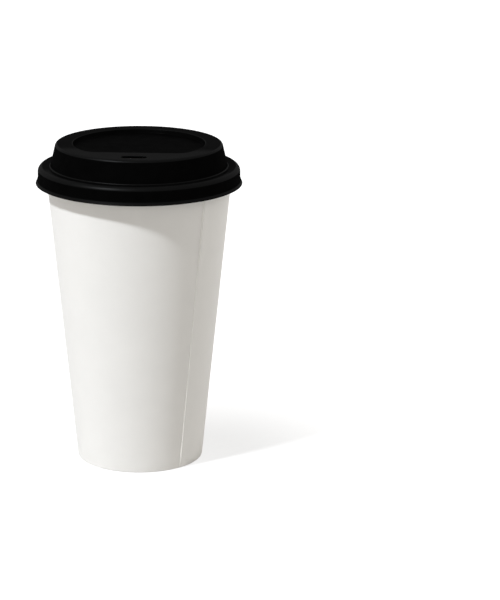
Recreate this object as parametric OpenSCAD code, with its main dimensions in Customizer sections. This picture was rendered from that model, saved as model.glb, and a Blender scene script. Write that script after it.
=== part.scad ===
// Takeaway hot-drink cup of coated paperboard with a pressed-on sipping lid.
// Millimetres, +Z up, origin at the middle of the foot, sip opening towards -Y.

/* [Cup] */
// Height of the cup from the table to the top of its rolled rim
cup_h = 137.1; // [100:0.1:160]
// Diameter across the foot
foot_d = 57.8; // [50:0.1:64]
// Diameter across the rolled rim
rim_d = 90.2; // [84:0.1:100]
// Diameter of the rolled bead that makes the rim
curl_d = 3.2; // [2.8:0.1:4]
// Angle by which the end of the roll turns back up inside the rim
curl_tuck = 35; // [10:1:60]
// Thickness of the coated paperboard
board = 0.4; // [0.3:0.01:0.5]

/* [Foot] */
// Height of the hem that is folded up inside the foot
hem_h = 7.4; // [4:0.1:7.8]
// Height of the middle of the base disc above the table
base_z = 9.6; // [9:0.1:16]
// Bend radius where the base disc turns down, at the middle of the board
base_bend = 0.9; // [0.5:0.1:2]
// Bend radius of the folded hem, at the middle of the board
fold_bend = 0.3; // [0.26:0.01:0.36]
// Clearance on each side of the base skirt inside the hem
glue_gap = 0.02; // [0.01:0.01:0.06]

/* [Side seam] */
// Width of the overlap at the side seam
lap_w = 8; // [4:0.1:12]
// Direction of the seam's inner end, in degrees from the sip opening
seam_angle = 59; // [0:1:359]
// Angle over which the outer flap comes back to the wall, in degrees
seam_ramp = 14; // [8:1:24]

/* [Lid] */
// Thickness of the formed plastic sheet
sheet_t = 0.5; // [0.3:0.01:0.6]
// Clearance between the lid and the top of the rolled rim
seat_gap = 0.2; // [0.1:0.01:0.3]
// Clearance between the lid and the outside of the rolled rim
side_gap = 0.3; // [0.2:0.01:0.6]
// How much rounder the lid's bead is than the rim inside it
crown_ease = 0.25; // [0.1:0.01:0.3]
// Height of the drinking ledge above the lid's bead
dome_h = 10.2; // [6:0.1:18]
// Distance of the dome's foot inside the outer edge of the rolled rim
dome_in = 4.8; // [4.4:0.1:6]
// How far the dome leans in from its foot to its top edge
dome_lean = 2.5; // [1:0.1:5]
// Rounding of the dome's top edge, at the middle of the sheet
shoulder_bend = 1.2; // [0.5:0.1:3]
// Depth of the groove between the dome and the bead
groove_depth = 0.4; // [0.1:0.1:1]
// Rounding at the dome's foot, at the middle of the sheet
groove_bend = 0.9; // [0.4:0.1:1.2]
// Height of the skirt from the middle of the rolled rim down to the lip
skirt_h = 5.9; // [4.5:0.1:12]
// How far the skirt flares out to the lip
skirt_flare = 1; // [0.4:0.1:2]
// Height of the flared part of the skirt
flare_h = 2.9; // [1.5:0.1:3]
// Rounding where the skirt turns out into its flare, at the middle of the sheet
flare_bend = 2; // [0.5:0.1:3]

/* [Lid recess] */
// Width of the ledge round the sides and back of the recess
ledge_w = 7.8; // [5:0.1:10]
// Width of the drinking ledge in front of the recess
ledge_front = 16.6; // [13:0.1:20]
// Radius of the two front corners of the recess
recess_corner = 9; // [5:0.1:11]
// Depth of the recess below the ledge
recess_depth = 1.9; // [1.5:0.1:5]
// How far the recess wall leans in from top to bottom
recess_lean = 0.6; // [0.4:0.1:2]
// Rounding of the recess's top and bottom edges
recess_round = 0.5; // [0.3:0.1:0.6]

/* [Sip opening and vent] */
// Length of the sip opening
slot_l = 11.4; // [6:0.1:18]
// Width of the sip opening
slot_w = 4.2; // [2:0.1:5]
// Distance of the sip opening's middle behind the dome's top edge
slot_in = 7.5; // [5:0.1:10]
// Diameter of the vent hole
vent_d = 1; // [0.6:0.1:2]
// Distance of the vent hole behind the straight front of the recess
vent_in = 5.7; // [3:0.1:20]

/* [Hidden] */
PAPER = [0.95, 0.94, 0.92];
BLACK = [0.03, 0.03, 0.03];
ROUND = 144;
OUTLINE_ROUND = 72;
HOLE_ROUND = 48;
// Largest turn between two points of a bend's section, in degrees
BEND_STEP = 9;
// Thickness of the flat slices that a rounded edge is hulled through
SLICE = 0.001;
// Reach of plans that only have to clear the cup
BIG = 3 * rim_d;

// Rolled rim: middle of its section, and its bend at the middle of the board
curl_bend = (curl_d - board) / 2;
curl_x = (rim_d - curl_d) / 2;
curl_z = cup_h - curl_d / 2;

// Wall: a straight line from the foot that meets the roll as a tangent
wall_foot = foot_d / 2 - board / 2;
wall_reach = norm([curl_x - wall_foot, curl_z]);
taper = atan2(curl_x - wall_foot, curl_z) - asin(curl_bend / wall_reach);
function wall_mid(z) = wall_foot + z * tan(taper);
function wall_layer(z, offset) = wall_mid(z) + offset / cos(taper);

// Side seam: the outer flap lies on a cone moved sideways, so that it stands one board
// proud at its cut edge and comes back to the wall over the ramp
seam_mid = wall_mid(curl_z / 2);
seam_shift = board / sin(seam_ramp + asin(lap_w / seam_mid));
// The ramp ends this much early, in degrees, where it has all but met the wall
ramp_cut = 2;
seam_end = seam_ramp - ramp_cut;
// The flap runs from just above the foot's fold to just below the rolled rim
flap_foot = 1;
flap_gap = 0.3;
flap_top = cup_h - curl_d - flap_gap;
// The step inside the cup starts clear of the base disc
relief_foot = base_z + 2 * board;

// Layers inside the foot, each measured square to the wall
skirt_in = board + glue_gap;
hem_in = 2 * skirt_in;

// Lid bead: it bends round the rolled rim, clear of it by the two gaps
bead_bend = curl_d / 2 + side_gap + sheet_t / 2 + crown_ease;
bead_x = curl_x + curl_d / 2 + side_gap + sheet_t / 2;
bead_z = cup_h + seat_gap + sheet_t / 2;
bead_inner_x = curl_x - curl_d / 4;
groove_z = bead_z - groove_depth;

// Lid dome and ledge
dome_foot_r = rim_d / 2 - dome_in;
dome_top_r = dome_foot_r - dome_lean;
ledge_z = bead_z + dome_h;
lid_top = ledge_z + sheet_t / 2;

// Lid skirt: straight down from the bead, then flared out to the lip
lip_x = bead_x + skirt_flare;
lip_z = curl_z - skirt_h;
flare_z = lip_z + flare_h;

// Recess outline: middles of its front corners and the angle that they stand at
recess_r = dome_top_r - ledge_w;
recess_front = dome_top_r - ledge_front;
corner_y = -(recess_front - recess_corner);
corner_x = sqrt(pow(recess_r - recess_corner, 2) - pow(corner_y, 2));
corner_a = atan2(corner_y, corner_x);

// Places of the openings, from the cup's axis
slot_y = -(dome_top_r - slot_in);
vent_y = -(recess_front - vent_in);

// Section of a sheet bent along a path of corners [x, y, bend radius]. The path and
// its radii run through the middle of the sheet's thickness t.
function along(p, q) = [q[0] - p[0], q[1] - p[1]] / norm([q[0] - p[0], q[1] - p[1]]);
function heading(p, q) = atan2(q[1] - p[1], q[0] - p[0]);
function wrap(a) = a > 180 ? a - 360 : a < -180 ? a + 360 : a;
function turn(path, i) = wrap(heading(path[i], path[i + 1]) - heading(path[i - 1], path[i]));

function bend_points(path, i, t, side) =
    let (
        u = along(path[i - 1], path[i]),
        angle = turn(path, i),
        way = sign(angle),
        radius = path[i][2],
        start = [path[i][0], path[i][1]] - u * radius * tan(abs(angle) / 2),
        centre = start + way * radius * [-u[1], u[0]],
        first = heading(path[i - 1], path[i]) - way * 90,
        steps = ceil(abs(angle) / BEND_STEP)
    )
    [for (k = [0 : steps])
        centre + (radius - way * side * t / 2)
            * [cos(first + angle * k / steps), sin(first + angle * k / steps)]];

function end_point(p, u, t, side) = [p[0], p[1]] + side * t / 2 * [-u[1], u[0]];

function side_points(path, t, side) =
    let (last = len(path) - 1)
    concat(
        [end_point(path[0], along(path[0], path[1]), t, side)],
        [for (i = [1 : last - 1]) each bend_points(path, i, t, side)],
        [end_point(path[last], along(path[last - 1], path[last]), t, side)]
    );

function reversed(list) = [for (i = [len(list) - 1 : -1 : 0]) list[i]];

module sheet(path, t) {
    polygon(concat(side_points(path, t, 1), reversed(side_points(path, t, -1))));
}

// Cup wall section: tucked end of the roll, rolled rim, wall, fold and hem
module wall_section() {
    tuck = curl_bend * tan(curl_tuck / 2);
    sheet([
        [curl_x - tuck * (1 + cos(curl_tuck)), curl_z - curl_bend + tuck * sin(curl_tuck)],
        [curl_x - tuck, curl_z - curl_bend, curl_bend],
        [curl_x + curl_bend, curl_z - curl_bend, curl_bend],
        [curl_x + curl_bend, curl_z + curl_bend, curl_bend],
        [wall_mid(curl_z + curl_bend), curl_z + curl_bend, curl_bend],
        [wall_mid(board / 2), board / 2, fold_bend],
        [wall_layer(board / 2, -hem_in), board / 2, fold_bend],
        [wall_layer(hem_h, -hem_in), hem_h]
    ], board);
}

// Cone at a given depth through the wall, moved sideways for the seam's outer flap
module seam_cone(from, to, offset) {
    translate([seam_shift * sin(seam_ramp), -seam_shift * cos(seam_ramp), from])
        cylinder(h = to - from, r1 = wall_layer(from, offset), r2 = wall_layer(to, offset),
            $fn = ROUND);
}

// Ground plan of the seam from the line y = left to the end of its ramp
module seam_plan(from, to, left) {
    near = foot_d / 4;
    translate([0, 0, from]) linear_extrude(to - from) polygon([
        [near, left],
        [BIG, left],
        [BIG, BIG * tan(seam_end)],
        [near, near * tan(seam_end)]
    ]);
}

module seam_flap() {
    difference() {
        intersection() {
            seam_cone(flap_foot, flap_top, board / 2);
            seam_plan(flap_foot, flap_top, -lap_w);
        }
        cylinder(h = cup_h, r1 = wall_mid(0), r2 = wall_mid(cup_h), $fn = ROUND);
    }
}

// Step inside the cup beside the seam's inner end
module seam_relief() {
    intersection() {
        seam_cone(relief_foot, flap_top, -board / 2);
        seam_plan(relief_foot, flap_top, 0);
    }
}

module cup_wall() {
    color(PAPER) difference() {
        union() {
            rotate_extrude($fn = ROUND) wall_section();
            rotate(seam_angle - 90) seam_flap();
        }
        rotate(seam_angle - 90) seam_relief();
    }
}

// Base disc with its skirt turned down between the wall and the hem
module cup_base() {
    skirt_z = 2 * board;
    color(PAPER) rotate_extrude($fn = ROUND) sheet([
        [0, base_z],
        [wall_layer(base_z, -skirt_in), base_z, base_bend],
        [wall_layer(skirt_z, -skirt_in), skirt_z]
    ], board);
}

// Lid section from the ledge down the dome, over the bead and down to the lip
module lid_section() {
    sheet([
        [0, ledge_z],
        [dome_top_r - sheet_t / 2, ledge_z, shoulder_bend],
        [dome_foot_r - sheet_t / 2, groove_z, groove_bend],
        [bead_inner_x, bead_z, bead_bend],
        [bead_x, bead_z, bead_bend],
        [bead_x, flare_z, flare_bend],
        [lip_x, lip_z]
    ], sheet_t);
}

// Part of a disc between two directions
module sector(r, a0, a1) {
    fan = [for (k = [0 : 4]) a0 + (a1 - a0) * k / 4];
    intersection() {
        circle(r = r, $fn = OUTLINE_ROUND);
        polygon([[0, 0], for (a = fan) 2 * r * [cos(a), sin(a)]]);
    }
}

// Recess outline: round behind, straight in front, grown outwards by u
module recess_outline(u) {
    sector(recess_r + u, corner_a, 180 - corner_a);
    translate([corner_x, corner_y]) sector(recess_corner + u, -90, corner_a);
    translate([-corner_x, corner_y]) sector(recess_corner + u, 180 - corner_a, 270);
    polygon([
        [0, 0],
        [-corner_x, corner_y],
        [-corner_x, -recess_front - u],
        [corner_x, -recess_front - u],
        [corner_x, corner_y]
    ]);
}

module recess_slice(p) {
    translate([0, 0, lid_top + p[1]]) linear_extrude(SLICE) recess_outline(p[0]);
}

// Hollow of the recess, with its wall moved out and its floor down by the sheet
module recess_hollow(out) {
    slope = norm([recess_depth, recess_lean]) / recess_depth;
    angle = atan2(recess_depth, recess_lean);
    floor_r = recess_round + out;
    floor_u = out * slope - (recess_depth + out) * recess_lean / recess_depth
        - floor_r * tan(angle / 2);
    floor_z = -recess_depth - out;
    top_u = out * slope + recess_round * tan(angle / 2);
    hull() {
        for (a = [0, angle / 2, angle])
            recess_slice([floor_u + floor_r * sin(a), floor_z + floor_r * (1 - cos(a))]);
        recess_slice([top_u - recess_round * sin(angle), recess_round * (cos(angle) - 1)]);
    }
    for (k = [0, 1]) hull() for (a = [k, k + 1] * angle / 2)
        recess_slice([top_u - recess_round * sin(a), recess_round * (cos(a) - 1)]);
}

module sip_opening() {
    translate([0, slot_y, ledge_z - sheet_t]) linear_extrude(2 * sheet_t) {
        square([slot_l - slot_w, slot_w], center = true);
        for (side = [-1, 1]) translate([side * (slot_l - slot_w) / 2, 0])
            circle(d = slot_w, $fn = HOLE_ROUND);
    }
}

module lid() {
    color(BLACK) difference() {
        union() {
            rotate_extrude($fn = ROUND) lid_section();
            recess_hollow(sheet_t);
        }
        recess_hollow(0);
        sip_opening();
        translate([0, vent_y, ledge_z - recess_depth - sheet_t])
            cylinder(h = 2 * sheet_t, d = vent_d, $fn = HOLE_ROUND);
    }
}

cup_wall();
cup_base();
lid();
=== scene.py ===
"""Looks of a lidded paper coffee cup: coated paperboard, black formed lid, studio light."""
import math

import bmesh
import bpy
from mathutils import Matrix, Vector


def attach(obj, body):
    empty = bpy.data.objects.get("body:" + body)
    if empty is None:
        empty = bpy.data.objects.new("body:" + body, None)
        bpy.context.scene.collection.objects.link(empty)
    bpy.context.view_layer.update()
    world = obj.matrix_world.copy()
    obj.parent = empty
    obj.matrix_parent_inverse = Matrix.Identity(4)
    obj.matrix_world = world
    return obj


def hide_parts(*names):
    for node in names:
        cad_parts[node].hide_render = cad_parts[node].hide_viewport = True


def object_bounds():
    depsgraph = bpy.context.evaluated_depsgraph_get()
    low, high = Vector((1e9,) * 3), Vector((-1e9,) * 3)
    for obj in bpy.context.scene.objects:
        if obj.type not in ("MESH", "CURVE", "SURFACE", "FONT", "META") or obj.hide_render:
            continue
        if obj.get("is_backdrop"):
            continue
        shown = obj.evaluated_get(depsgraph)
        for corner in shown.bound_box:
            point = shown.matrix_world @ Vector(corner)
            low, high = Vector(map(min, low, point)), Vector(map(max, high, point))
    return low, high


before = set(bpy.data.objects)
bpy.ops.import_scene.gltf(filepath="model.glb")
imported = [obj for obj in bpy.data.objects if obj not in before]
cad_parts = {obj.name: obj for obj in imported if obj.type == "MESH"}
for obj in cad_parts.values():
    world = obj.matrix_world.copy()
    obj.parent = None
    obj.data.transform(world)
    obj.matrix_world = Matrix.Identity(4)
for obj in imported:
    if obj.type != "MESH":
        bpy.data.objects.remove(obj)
cad_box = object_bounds()

MM = 0.001

# Cup, in millimetres like the solids
CUP_H = 137.1
FOOT_D = 57.8
RIM_D = 90.2
CURL_D = 3.2
BOARD = 0.4
HEM_H = 7.4
BASE_Z = 9.6
BASE_BEND = 0.9
FOLD_BEND = 0.3
GLUE_GAP = 0.02
CURL_TUCK = 35

# Side seam
LAP_W = 8.0
SEAM_ANGLE = 59
SEAM_RAMP = 14
EDGE_SLOPE = 0.36
FLAP_LIFT = 0.4
FLAP_FROM = 97
FLAP_SPAN = 7
FLAP_RAMP = 6
FLAP_UNDER_RIM = 2
# The overlap's step fades out at the fold and under the rim: where, and over what height
STEP_FOOT = 0.15
STEP_FOOT_RAMP = 0.5
STEP_UNDER_RIM = 0.6
STEP_TOP_RAMP = 1.5
WALL_NEAR = 0.3

# Lid
SHEET = 0.5
SEAT_GAP = 0.2
SIDE_GAP = 0.3
CROWN_EASE = 0.25
DOME_H = 10.2
DOME_IN = 4.8
DOME_LEAN = 2.5
SHOULDER_BEND = 1.2
GROOVE_DEPTH = 0.4
GROOVE_BEND = 0.9
SKIRT_H = 5.9
SKIRT_FLARE = 1.0
FLARE_H = 2.9
FLARE_BEND = 2.0
LIP_TURN = 1.4
LIP_EASE = 0.37
LIP_TRIM = 0.06
LEDGE_START = 0.6

# Recess, sip opening and vent in the lid's ledge
LEDGE_W = 7.8
LEDGE_FRONT = 16.6
RECESS_CORNER = 9.0
RECESS_DEPTH = 1.9
RECESS_LEAN = 0.6
RECESS_ROUND = 0.5
SLOT_L = 11.4
SLOT_W = 4.2
SLOT_IN = 7.5
VENT_R = 0.5
VENT_IN = 5.7

# Mesh density
WALL_COLUMNS = 240
LID_COLUMNS = 288
BEND_STEP = 7.5
GUARD = 0.15
# The wall between these two heights is cut up in steps of the third
WALL_CUTS = (2, 130, 4)

# Worked-out places
CURL_BEND = (CURL_D - BOARD) / 2
CURL_X = (RIM_D - CURL_D) / 2
CURL_Z = CUP_H - CURL_D / 2
WALL_FOOT = FOOT_D / 2 - BOARD / 2
WALL_REACH = math.hypot(CURL_X - WALL_FOOT, CURL_Z)
TAPER = math.atan2(CURL_X - WALL_FOOT, CURL_Z) - math.asin(CURL_BEND / WALL_REACH)
SKIRT_IN = BOARD + GLUE_GAP
HEM_IN = 2 * SKIRT_IN
BEAD_X = CURL_X + CURL_D / 2 + SIDE_GAP + SHEET / 2
BEAD_Z = CUP_H + SEAT_GAP + SHEET / 2
BEAD_BEND = BEAD_X - CURL_X + CROWN_EASE
DOME_FOOT_R = RIM_D / 2 - DOME_IN
DOME_TOP_R = DOME_FOOT_R - DOME_LEAN
LEDGE_Z = BEAD_Z + DOME_H
LID_TOP = LEDGE_Z + SHEET / 2
LIP_Z = CURL_Z - SKIRT_H
RECESS_R = DOME_TOP_R - LEDGE_W
RECESS_FRONT = DOME_TOP_R - LEDGE_FRONT
SLOT_Y = -(DOME_TOP_R - SLOT_IN)
VENT_Y = -(RECESS_FRONT - VENT_IN)


def wall_mid(z):
    """Radius at the middle of the board at a height."""
    return WALL_FOOT + z * math.tan(TAPER)


def wall_layer(z, offset):
    """Radius of a layer that lies a distance outside the middle of the board."""
    return wall_mid(z) + offset / math.cos(TAPER)


def along(p, q):
    """Unit direction from one section point to another."""
    length = math.hypot(q[0] - p[0], q[1] - p[1])
    return (q[0] - p[0]) / length, (q[1] - p[1]) / length


def bend_points(path, i, thickness, side):
    """Points of one side of the sheet round corner i of its path."""
    u = along(path[i - 1], path[i])
    v = along(path[i], path[i + 1])
    angle = math.atan2(u[0] * v[1] - u[1] * v[0], u[0] * v[0] + u[1] * v[1])
    way = 1 if angle > 0 else -1
    radius = path[i][2]
    back = radius * math.tan(abs(angle) / 2)
    centre = (
        path[i][0] - u[0] * back - way * radius * u[1],
        path[i][1] - u[1] * back + way * radius * u[0],
    )
    first = math.atan2(u[1], u[0]) - way * math.pi / 2
    reach = radius - way * side * thickness / 2
    steps = max(2, math.ceil(abs(math.degrees(angle)) / BEND_STEP))
    turns = [first + angle * k / steps for k in range(steps + 1)]
    return [(centre[0] + reach * math.cos(a), centre[1] + reach * math.sin(a)) for a in turns]


def sheet_side(path, thickness, side):
    """One side of a sheet bent along a path of (radius, height, bend) corners."""
    def end(p, u):
        return p[0] - side * thickness / 2 * u[1], p[1] + side * thickness / 2 * u[0]

    points = [end(path[0], along(path[0], path[1]))]
    for i in range(1, len(path) - 1):
        points += bend_points(path, i, thickness, side)
    points.append(end(path[-1], along(path[-2], path[-1])))
    return points


def divided(points, spans):
    """The same section line with its stretch from one height to another cut up finely."""
    z0, z1, step = spans
    out = [points[0]]
    for p, q in zip(points, points[1:]):
        if abs(q[1] - p[1]) > step and min(p[1], q[1]) < z1 and max(p[1], q[1]) > z0:
            count = math.ceil(abs(q[1] - p[1]) / step)
            for k in range(1, count):
                t = k / count
                out.append((p[0] + (q[0] - p[0]) * t, p[1] + (q[1] - p[1]) * t))
        out.append(q)
    return out


class Skin:
    """Collects rings of points and the faces between them, in millimetres."""

    def __init__(self):
        self.bm = bmesh.new()

    def ring(self, points):
        return [self.bm.verts.new([c * MM for c in p]) for p in points]

    def bridge(self, a, b, material=0, first=None):
        n = len(a)
        for k in range(n):
            corners = [a[k], a[(k + 1) % n], b[(k + 1) % n], b[k]]
            face = self.bm.faces.new(corners)
            face.material_index = first if k == 0 and first is not None else material

    def fill(self, loops):
        edges = []
        for loop in loops:
            for k, v in enumerate(loop):
                w = loop[(k + 1) % len(loop)]
                edge = self.bm.edges.get((v, w)) or self.bm.edges.new((v, w))
                edges.append(edge)
        bmesh.ops.triangle_fill(self.bm, use_beauty=True, use_dissolve=False, edges=edges)

    def finish(self, name, materials, sharp=40):
        bmesh.ops.remove_doubles(self.bm, verts=self.bm.verts, dist=1e-7)
        bmesh.ops.recalc_face_normals(self.bm, faces=self.bm.faces)
        for edge in self.bm.edges:
            if edge.calc_face_angle(0) > math.radians(sharp):
                edge.smooth = False
        for face in self.bm.faces:
            face.smooth = True
        mesh = bpy.data.meshes.new(name)
        self.bm.to_mesh(mesh)
        self.bm.free()
        for material in materials:
            mesh.materials.append(material)
        piece = bpy.data.objects.new(name, mesh)
        bpy.context.scene.collection.objects.link(piece)
        return piece


def polar(radius, angle, z):
    """Point at an angle in degrees from the sip opening's side, turning to the right."""
    a = math.radians(angle)
    return radius * math.sin(a), -radius * math.cos(a), z


# Side seam of the cup wall

def seam_line(z):
    """Direction of the outer flap's cut edge at a height."""
    z = min(max(z, 0), CUP_H)
    return SEAM_ANGLE - math.degrees(math.asin(LAP_W / wall_mid(z)))


def seam_lift(angle, z):
    """How far the outer surface stands out at an angle right of the flap's cut edge."""
    span = SEAM_ANGLE + SEAM_RAMP - seam_line(z)
    if angle < 0 or angle > span:
        return 0
    return BOARD * math.sin(math.radians(span - angle)) / math.sin(math.radians(span))


def eased(x):
    x = min(max(x, 0), 1)
    return x * x * (3 - 2 * x)


def flap_lift(angle, z):
    """How far the flap's edge has come away from the wall, under the rim."""
    risen = eased((z - FLAP_FROM) / FLAP_RAMP) * eased((CURL_Z - FLAP_UNDER_RIM - z) / FLAP_RAMP)
    return FLAP_LIFT * risen * eased(1 - angle / FLAP_SPAN)


def wall_path():
    tuck = CURL_BEND * math.tan(math.radians(CURL_TUCK / 2))
    turn = math.radians(CURL_TUCK)
    return [
        (CURL_X - tuck * (1 + math.cos(turn)), CURL_Z - CURL_BEND + tuck * math.sin(turn)),
        (CURL_X - tuck, CURL_Z - CURL_BEND, CURL_BEND),
        (CURL_X + CURL_BEND, CURL_Z - CURL_BEND, CURL_BEND),
        (CURL_X + CURL_BEND, CURL_Z + CURL_BEND, CURL_BEND),
        (wall_mid(CURL_Z + CURL_BEND), CURL_Z + CURL_BEND, CURL_BEND),
        (wall_mid(BOARD / 2), BOARD / 2, FOLD_BEND),
        (wall_layer(BOARD / 2, -HEM_IN), BOARD / 2, FOLD_BEND),
        (wall_layer(HEM_H, -HEM_IN), HEM_H),
    ]


def cup_wall(materials):
    """One sheet of board: rolled rim, cone with its lap seam, fold and hem."""
    outer = divided(sheet_side(wall_path(), BOARD, 1), WALL_CUTS)
    inner = divided(sheet_side(wall_path(), BOARD, -1), WALL_CUTS)
    skin = Skin()

    def ring(r, z, lift):
        line = seam_line(z)
        points = [polar(r, line - math.degrees(EDGE_SLOPE / r), z)]
        for k in range(WALL_COLUMNS):
            a = 360 * k / WALL_COLUMNS
            out = seam_lift(a, z) + flap_lift(a, z)
            points.append(polar(r + lift * out, line + a, z))
        return skin.ring(points)

    def lift_at(r, z):
        near_wall = abs(r - wall_layer(z, BOARD / 2)) < WALL_NEAR
        if not near_wall:
            return 0
        above_fold = eased((z - STEP_FOOT) / STEP_FOOT_RAMP)
        return above_fold * eased((CURL_Z - STEP_UNDER_RIM - z) / STEP_TOP_RAMP)

    rings = [ring(r, z, lift_at(r, z)) for r, z in outer]
    rings += [ring(r, z, 0) for r, z in reversed(inner)]
    edges_from = len(outer) - 1
    for i in range(len(rings)):
        cut = i == edges_from or i == len(rings) - 1
        flap_edge = 1 if i < edges_from else None
        skin.bridge(rings[i], rings[(i + 1) % len(rings)], 1 if cut else 0, flap_edge)
    return skin.finish("cup_wall_paper", materials)


def cup_base(materials):
    """Base disc, a pan with its skirt turned down."""
    path = [
        (1.0, BASE_Z),
        (wall_layer(BASE_Z, -SKIRT_IN), BASE_Z, BASE_BEND),
        (wall_layer(2 * BOARD, -SKIRT_IN), 2 * BOARD),
    ]
    skin = Skin()
    sides = [sheet_side(path, BOARD, s) for s in (1, -1)]
    loop = sides[0] + list(reversed(sides[1]))
    angles = [360 * k / WALL_COLUMNS for k in range(WALL_COLUMNS)]
    rings = [skin.ring([polar(r, a, z) for a in angles]) for r, z in loop]
    cut_from = len(sides[0]) - 1
    for i in range(len(rings) - 1):
        skin.bridge(rings[i], rings[i + 1], 1 if i == cut_from else 0)
    skin.bm.faces.new(rings[0])
    skin.bm.faces.new(rings[-1])
    return skin.finish("cup_base_paper", materials)


# Lid

CORNER_Y = -(RECESS_FRONT - RECESS_CORNER)
CORNER_X = math.sqrt((RECESS_R - RECESS_CORNER) ** 2 - CORNER_Y ** 2)


def recess_reach(angle, grow):
    """Distance from the axis to the recess's outline, grown outwards, at an angle."""
    dx, dy = abs(math.sin(math.radians(angle))), -math.cos(math.radians(angle))
    if math.atan2(dy, dx) >= math.atan2(CORNER_Y, CORNER_X):
        return RECESS_R + grow
    front = (RECESS_FRONT + grow) / -dy
    if front * dx <= CORNER_X:
        return front
    middle = CORNER_X * dx + CORNER_Y * dy
    square = (RECESS_CORNER + grow) ** 2 - CORNER_X ** 2 - CORNER_Y ** 2
    return middle + math.sqrt(middle ** 2 + square)


def recess_stations(out, top_round):
    """(growth, height) of the recess from the ledge down to its floor."""
    angle = math.atan2(RECESS_DEPTH, RECESS_LEAN)
    slope = math.hypot(RECESS_DEPTH, RECESS_LEAN) / RECESS_DEPTH
    top = LID_TOP - out
    floor = LID_TOP - RECESS_DEPTH - out
    lean = RECESS_LEAN / RECESS_DEPTH
    foot_round = RECESS_ROUND + out
    top_u = out * slope - out * lean + top_round * math.tan(angle / 2)
    foot_u = out * slope - (RECESS_DEPTH + out) * lean - foot_round * math.tan(angle / 2)
    steps = 6
    turns = [angle * k / steps for k in range(steps + 1)]
    stations = [(top_u + GUARD, top)]
    stations += [(top_u - top_round * math.sin(a), top - top_round * (1 - math.cos(a)))
                 for a in turns]
    stations += [(foot_u + foot_round * math.sin(a), floor + foot_round * (1 - math.cos(a)))
                 for a in reversed(turns)]
    stations.append((foot_u - GUARD, floor))
    return stations


def lid_path():
    """Middle of the lid's sheet, from inside the ledge out and down to the lip."""
    return [
        (DOME_TOP_R - SHEET / 2 - SHOULDER_BEND - LEDGE_START, LEDGE_Z),
        (DOME_TOP_R - SHEET / 2, LEDGE_Z, SHOULDER_BEND),
        (DOME_FOOT_R - SHEET / 2, BEAD_Z - GROOVE_DEPTH, GROOVE_BEND),
        (CURL_X - CURL_D / 4, BEAD_Z, BEAD_BEND),
        (BEAD_X, BEAD_Z, BEAD_BEND),
        (BEAD_X, LIP_Z + FLARE_H, FLARE_BEND),
        (BEAD_X + LIP_EASE * SKIRT_FLARE, LIP_Z + LIP_TURN, FLARE_BEND),
        (BEAD_X + SKIRT_FLARE, LIP_Z + LIP_TRIM),
    ]


def stadium(grow):
    """Outline of the sip opening, grown outwards."""
    radius = SLOT_W / 2 + grow
    half = (SLOT_L - SLOT_W) / 2
    points = []
    for side, first in ((1, -90), (-1, 90)):
        for k in range(17):
            a = math.radians(first + 180 * k / 16)
            points.append((side * half + radius * math.cos(a), SLOT_Y + radius * math.sin(a)))
    return points


def vent(grow):
    """Outline of the vent hole, grown outwards."""
    turns = [2 * math.pi * k / 24 for k in range(24)]
    radius = VENT_R + grow
    return [(radius * math.cos(a), VENT_Y + radius * math.sin(a)) for a in turns]


def hole(skin, outline, top, bottom, soft):
    """Walls of a hole with softened edges; returns its outer loops in both faces."""
    levels = [(soft + 0.1, top)]
    for k in range(4):
        a = math.radians(30 * k)
        levels.append((soft * (1 - math.sin(a)), top - soft * (1 - math.cos(a))))
    levels += [(0, bottom + 0.05), (0.05, bottom), (soft + 0.1, bottom)]
    rings = [skin.ring([(x, y, z) for x, y in outline(grow)]) for grow, z in levels]
    for a, b in zip(rings, rings[1:]):
        skin.bridge(a, b)
    return rings[0], rings[-1]


def lid(materials):
    """One formed sheet: lip, skirt, bead, groove, dome, ledge and recess."""
    skin = Skin()
    angles = [360 * k / LID_COLUMNS for k in range(LID_COLUMNS)]

    def strip(points):
        rings = [skin.ring([polar(r, a, z) for a in angles]) for r, z in points]
        for a, b in zip(rings, rings[1:]):
            skin.bridge(a, b)
        return rings

    def pan(stations):
        rings = []
        for grow, z in stations:
            rings.append(skin.ring([polar(recess_reach(a, grow), a, z) for a in angles]))
        for a, b in zip(rings, rings[1:]):
            skin.bridge(a, b)
        return rings

    top = strip(sheet_side(lid_path(), SHEET, 1))
    under = strip(sheet_side(lid_path(), SHEET, -1))
    skin.bridge(top[-1], under[-1])
    pan_top = pan(recess_stations(0, RECESS_ROUND))
    pan_under = pan(recess_stations(SHEET, 0.25))
    slot = hole(skin, stadium, LID_TOP, LID_TOP - SHEET, 0.2)
    floor = LID_TOP - RECESS_DEPTH
    pinhole = hole(skin, vent, floor, floor - SHEET, 0.1)
    skin.fill([top[0], pan_top[0], slot[0]])
    skin.fill([under[0], pan_under[0], slot[1]])
    skin.fill([pan_top[-1], pinhole[0]])
    skin.fill([pan_under[-1], pinhole[1]])
    return skin.finish("lid_plastic", materials)


# Materials

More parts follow.
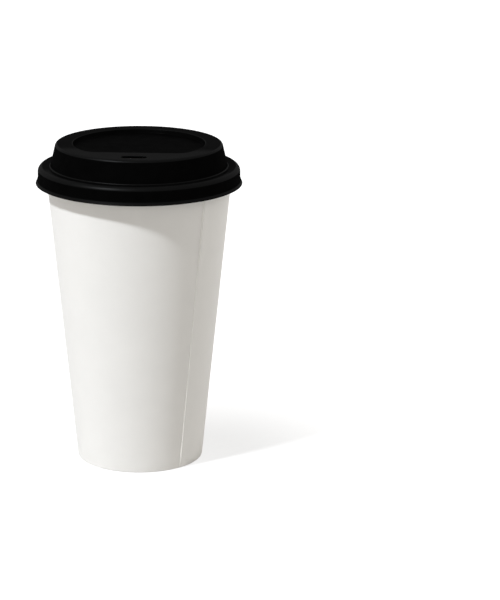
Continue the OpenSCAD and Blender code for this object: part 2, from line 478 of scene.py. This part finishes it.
class Nodes:
    """Short way to build a material's nodes."""

    def __init__(self, name):
        self.material = bpy.data.materials.new(name)
        self.material.use_nodes = True
        self.tree = self.material.node_tree
        self.shader = self.tree.nodes["Principled BSDF"]
        self.place = self.tree.nodes.new("ShaderNodeTexCoord").outputs["Object"]

    def new(self, kind, inputs=None, **settings):
        node = self.tree.nodes.new(kind)
        for key, value in settings.items():
            setattr(node, key, value)
        for key, value in (inputs or {}).items():
            if isinstance(value, bpy.types.NodeSocket):
                self.tree.links.new(value, node.inputs[key])
            else:
                node.inputs[key].default_value = value
        return node

    def noise(self, scale, detail=3, roughness=0.5, place=None):
        inputs = {"Vector": place or self.place, "Scale": scale, "Detail": detail,
                  "Roughness": roughness}
        return self.new("ShaderNodeTexNoise", inputs).outputs["Fac"]

    def stretched(self, x, y, z):
        return self.new("ShaderNodeMapping", {"Vector": self.place, "Scale": (x, y, z)}).outputs[0]

    def spread(self, value, low, high):
        inputs = {"Value": value, "To Min": low, "To Max": high}
        return self.new("ShaderNodeMapRange", inputs).outputs["Result"]

    def eased(self, value, start, end, low, high):
        inputs = {"Value": value, "From Min": start, "From Max": end, "To Min": low, "To Max": high}
        node = self.new("ShaderNodeMapRange", inputs, interpolation_type="SMOOTHSTEP")
        return node.outputs["Result"]

    def tint(self, factor, low, high):
        ramp = self.new("ShaderNodeValToRGB", {"Fac": factor})
        ramp.color_ramp.elements[0].color = (*low, 1)
        ramp.color_ramp.elements[1].color = (*high, 1)
        ramp.color_ramp.elements[0].position = 0.3
        ramp.color_ramp.elements[1].position = 0.7
        return ramp.outputs["Color"]

    def bump(self, height, distance, strength=1.0, under=None):
        inputs = {"Height": height, "Distance": distance, "Strength": strength}
        if under:
            inputs["Normal"] = under
        return self.new("ShaderNodeBump", inputs).outputs["Normal"]

    def set(self, **values):
        for key, value in values.items():
            socket = self.shader.inputs[key.replace("_", " ")]
            if isinstance(value, bpy.types.NodeSocket):
                self.tree.links.new(value, socket)
            else:
                socket.default_value = value


def coated_paper():
    """Smooth white board: faint cloudy pulp, fine fibre and a low, uneven coating sheen."""
    n = Nodes("coated_paper")
    cloud = n.noise(70, 4, 0.6)
    fibre = n.noise(1, 5, 0.65, n.stretched(900, 900, 500))
    grain = n.noise(2600, 2)
    n.set(Base_Color=n.tint(cloud, (0.815, 0.81, 0.8), (0.835, 0.83, 0.82)))
    n.set(Roughness=n.spread(cloud, 0.5, 0.62))
    n.set(Normal=n.bump(fibre, 0.00006, 0.6, n.bump(grain, 0.00002, 0.5)))
    n.shader.inputs["Specular IOR Level"].default_value = 0.3
    return n.material


def raw_edge():
    """Cut edge of the board: uncoated, whiter and fibrous."""
    n = Nodes("raw_edge")
    fibre = n.noise(3500, 4, 0.7)
    n.set(Base_Color=n.tint(fibre, (0.85, 0.845, 0.83), (0.93, 0.925, 0.91)))
    n.set(Roughness=n.spread(fibre, 0.8, 0.95))
    n.set(Normal=n.bump(fibre, 0.00002, 0.6))
    n.shader.inputs["Specular IOR Level"].default_value = 0.2
    return n.material


def black_plastic():
    """Formed black sheet: matt, with a faint satin coat that is duller in the recess."""
    n = Nodes("black_plastic")
    cloud = n.noise(160, 3, 0.6)
    peel = n.noise(1500, 3, 0.55)
    n.set(Base_Color=n.tint(cloud, (0.0008, 0.0008, 0.0008), (0.0014, 0.0014, 0.0014)))
    n.set(Roughness=n.spread(cloud, 0.6, 0.75))
    finish = n.bump(peel, 0.00002, 0.4)
    n.set(Normal=finish, Coat_Normal=finish, Specular_IOR_Level=0.0)
    dull = n.spread(n.noise(220, 4, 0.6), COAT_RECESS_LOW, COAT_RECESS_HIGH)
    coat = n.new("ShaderNodeMix", {"Factor": in_recess(n), "A": formed_gloss(n), "B": dull})
    n.set(Coat_Weight=coat.outputs["Result"], Coat_Roughness=COAT_ROUGHNESS, Coat_IOR=1.5)
    return n.material


def formed_gloss(n):
    """Gloss of the formed sheet: matt on drawn walls, polished on bends, satin where flat."""
    facing = n.new("ShaderNodeTexCoord").outputs["Normal"]
    up = n.new("ShaderNodeSeparateXYZ", {"Vector": facing}).outputs["Z"]
    bent = n.eased(up, WALL_UP, BEND_UP, COAT_WALL, COAT_BEND)
    depth = n.new("ShaderNodeSeparateXYZ", {"Vector": n.place}).outputs["Y"]
    front = -RECESS_FRONT * MM
    ledge = n.eased(depth, LEDGE_SHARE * front, RING_SHARE * front, COAT_LEDGE, COAT_RING)
    flat = n.eased(up, NEARLY_FLAT, FLAT, 0, 1)
    return n.new("ShaderNodeMix", {"Factor": flat, "A": bent, "B": ledge}).outputs["Result"]


def in_recess(n):
    """One inside the recess and nought on the ledge and outside it."""
    place = n.new("ShaderNodeSeparateXYZ", {"Vector": n.place}).outputs
    flat = n.new("ShaderNodeCombineXYZ", {"X": place["X"], "Y": place["Y"]}).outputs[0]
    radius = n.new("ShaderNodeVectorMath", {0: flat}, operation="LENGTH").outputs["Value"]
    near = n.new("ShaderNodeMapRange", {
        "Value": radius, "From Min": (RECESS_R + DULL_MARGIN) * MM, "From Max": RECESS_R * MM})
    low = n.new("ShaderNodeMapRange", {
        "Value": place["Z"],
        "From Min": (LID_TOP - DULL_FROM * RECESS_DEPTH) * MM,
        "From Max": (LID_TOP - DULL_TO * RECESS_DEPTH) * MM})
    both = {0: near.outputs["Result"], 1: low.outputs["Result"]}
    return n.new("ShaderNodeMath", both, operation="MULTIPLY").outputs[0]


def seen_rays(tree):
    """One for rays that show the background: from the camera, a gloss or a clear surface."""
    rays = tree.nodes.new("ShaderNodeLightPath")
    total = rays.outputs["Is Camera Ray"]
    for kind in ("Is Glossy Ray", "Is Transmission Ray"):
        add = tree.nodes.new("ShaderNodeMath")
        add.operation = "MAXIMUM"
        tree.links.new(total, add.inputs[0])
        tree.links.new(rays.outputs[kind], add.inputs[1])
        total = add.outputs[0]
    return total


def studio_floor():
    """White floor: bounces a plain grey light, and shows white with a pale shadow whose far part
    its glow paints out.
    """
    n = Nodes("studio_floor")
    n.set(Base_Color=(*FLOOR_BOUNCE, 1), Roughness=0.9)
    n.shader.inputs["Specular IOR Level"].default_value = 0.0
    # Painted light: the glow grows with distance from SHADOW_MIDDLE and washes out the far part of
    # the cup's cast shadow
    middle = turned(*[c * MM for c in SHADOW_MIDDLE])
    away = n.new("ShaderNodeVectorMath", {0: n.place, 1: middle}, operation="DISTANCE")
    strength = n.eased(away.outputs["Value"], SHADOW_NEAR * MM, SHADOW_FAR * MM, FLOOR_GLOW, 1)
    glow = n.new("ShaderNodeEmission", {"Color": (1, 1, 1, 1), "Strength": strength})
    thin = n.new("ShaderNodeBsdfDiffuse", {"Color": (FLOOR_SHADE,) * 3 + (1,)})
    shown = n.new("ShaderNodeAddShader", {0: glow.outputs[0], 1: thin.outputs[0]})
    mix = n.new("ShaderNodeMixShader", {
        "Fac": seen_rays(n.tree),
        1: n.shader.outputs[0],
        2: shown.outputs[0],
    })
    n.tree.links.new(mix.outputs[0], n.tree.nodes["Material Output"].inputs["Surface"])
    return n.material


# Studio

# The camera stands this far round from the sip opening's side
CAMERA_AZIMUTH = 4.3
CAMERA_DISTANCE = 1075.1
CAMERA_HEIGHT = 380.5
AIM_RIGHT = 50.85
AIM_HEIGHT = 73.73
CAMERA_ROLL = 0.009
FOCAL_LENGTH = 145.5

# Lamps: direction from the camera's side, elevation, angular size, strength and colour
KEY = (-51, 51, 5, 3.1, (0.97, 1.0, 1.03))
RIGHT_SOFT = (97, 15, 90, 1.78, (1.0, 0.965, 0.91))
LEFT_SOFT = (-95, 10, 60, 0.45, (1.0, 0.98, 0.95))
FRONT_SOFT = (-28, 6, 50, 0.82, (1.0, 0.96, 0.9))
FILL_COLOUR = (1.0, 0.92, 0.8)
WORLD_FILL = 0.1

# Floor: its bounce, how it shows, and where its own glow hides the far part of the shadow
SHADOW_MIDDLE = (30, 4, 0)
SHADOW_NEAR = 10
SHADOW_FAR = 98
FLOOR_BOUNCE = (0.5, 0.485, 0.46)
FLOOR_GLOW = 0.745
FLOOR_SHADE = 0.26
FLOOR_SIZE = 3.0

# Faint gloss of the black plastic: walls, bends, drinking ledge, ring round the recess,
# and its range inside the recess
COAT_WALL = 0.01
COAT_BEND = 0.1
COAT_LEDGE = 0.058
COAT_RING = 0.024
COAT_RECESS_LOW = 0.005
COAT_RECESS_HIGH = 0.02
COAT_ROUGHNESS = 0.4
# How far up a surface looks where the walls end and where the bends are fully polished
WALL_UP = 0.26
BEND_UP = 0.42
# How far up a surface looks where it starts to count as flat and where it is flat
NEARLY_FLAT = 0.94
FLAT = 0.99
# Shares of the way to the recess's front where the ledge's gloss ends and the ring's starts
LEDGE_SHARE = 0.9
RING_SHARE = 0.5
# The recess's dull finish: shares of its depth where it starts and is full, and its margin
DULL_FROM = 0.02
DULL_TO = 0.15
DULL_MARGIN = 1


def turned(x, y, z):
    """Point given from the camera's side, turned into the cup's frame."""
    return Matrix.Rotation(math.radians(CAMERA_AZIMUTH), 4, "Z") @ Vector((x, y, z))


def add_camera():
    place = turned(0, -CAMERA_DISTANCE * MM, CAMERA_HEIGHT * MM)
    aim = turned(AIM_RIGHT * MM, 0, AIM_HEIGHT * MM)
    ahead = (aim - place).normalized()
    right = ahead.cross(Vector((0, 0, 1))).normalized()
    up = right.cross(ahead)
    c, s = math.cos(CAMERA_ROLL), math.sin(CAMERA_ROLL)
    x_axis = c * right + s * up
    y_axis = c * up - s * right
    camera = bpy.data.objects.new("camera", bpy.data.cameras.new("camera"))
    camera.data.sensor_width = 36
    camera.data.lens = FOCAL_LENGTH
    camera.data.clip_start = 0.01
    camera.data.clip_end = 20
    basis = Matrix((x_axis, y_axis, -ahead)).transposed().to_4x4()
    camera.matrix_world = Matrix.Translation(place) @ basis
    bpy.context.scene.collection.objects.link(camera)
    bpy.context.scene.camera = camera


def add_lamp(name, azimuth, elevation, angle, strength, colour):
    """Far lamp in a direction measured from the camera's side; only the key shows in gloss."""
    a = math.radians(azimuth)
    e = math.radians(elevation)
    way = turned(math.sin(a) * math.cos(e), -math.cos(a) * math.cos(e), math.sin(e))
    lamp = bpy.data.objects.new(name, bpy.data.lights.new(name, "SUN"))
    lamp.data.energy = strength
    lamp.data.angle = math.radians(angle)
    lamp.data.color = colour
    lamp.visible_glossy = name == "key"
    lamp.rotation_euler = way.to_track_quat("Z", "Y").to_euler()
    lamp.location = way
    bpy.context.scene.collection.objects.link(lamp)


def add_floor():
    bm = bmesh.new()
    bmesh.ops.create_grid(bm, x_segments=1, y_segments=1, size=FLOOR_SIZE)
    mesh = bpy.data.meshes.new("floor")
    bm.to_mesh(mesh)
    bm.free()
    mesh.materials.append(studio_floor())
    floor = bpy.data.objects.new("floor", mesh)
    bpy.context.scene.collection.objects.link(floor)
    floor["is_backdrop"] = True


def add_world():
    """Dim warm surroundings for the light, plain white where they are seen."""
    world = bpy.data.worlds.new("world")
    bpy.context.scene.world = world
    world.use_nodes = True
    tree = world.node_tree
    fill = tree.nodes["Background"]
    fill.inputs["Color"].default_value = (*FILL_COLOUR, 1)
    fill.inputs["Strength"].default_value = WORLD_FILL
    white = tree.nodes.new("ShaderNodeBackground")
    white.inputs["Color"].default_value = (1, 1, 1, 1)
    mix = tree.nodes.new("ShaderNodeMixShader")
    tree.links.new(seen_rays(tree), mix.inputs["Fac"])
    tree.links.new(fill.outputs[0], mix.inputs[1])
    tree.links.new(white.outputs[0], mix.inputs[2])
    tree.links.new(mix.outputs[0], tree.nodes["World Output"].inputs["Surface"])


def dress():
    paper = [coated_paper(), raw_edge()]
    plastic = [black_plastic()]
    for build, node, body, slot, materials in (
        (cup_wall, "cup_wall", "cup", "coated_paper", paper),
        (cup_base, "cup_base", "cup", "coated_paper", paper),
        (lid, "lid", "lid", "black_plastic", plastic),
    ):
        piece = build(materials)
        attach(piece, body)
        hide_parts(node)


def write_sizes():
    boxes = {"cad": cad_box, "visual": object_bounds()}
    rows = {name: [list(corner) for corner in box] for name, box in boxes.items()}


add_camera()
add_lamp("key", *KEY)
add_lamp("right_soft", *RIGHT_SOFT)
add_lamp("left_soft", *LEFT_SOFT)
add_lamp("front_soft", *FRONT_SOFT)
add_world()
add_floor()
dress()
bpy.context.scene.view_settings.view_transform = "Standard"
write_sizes()
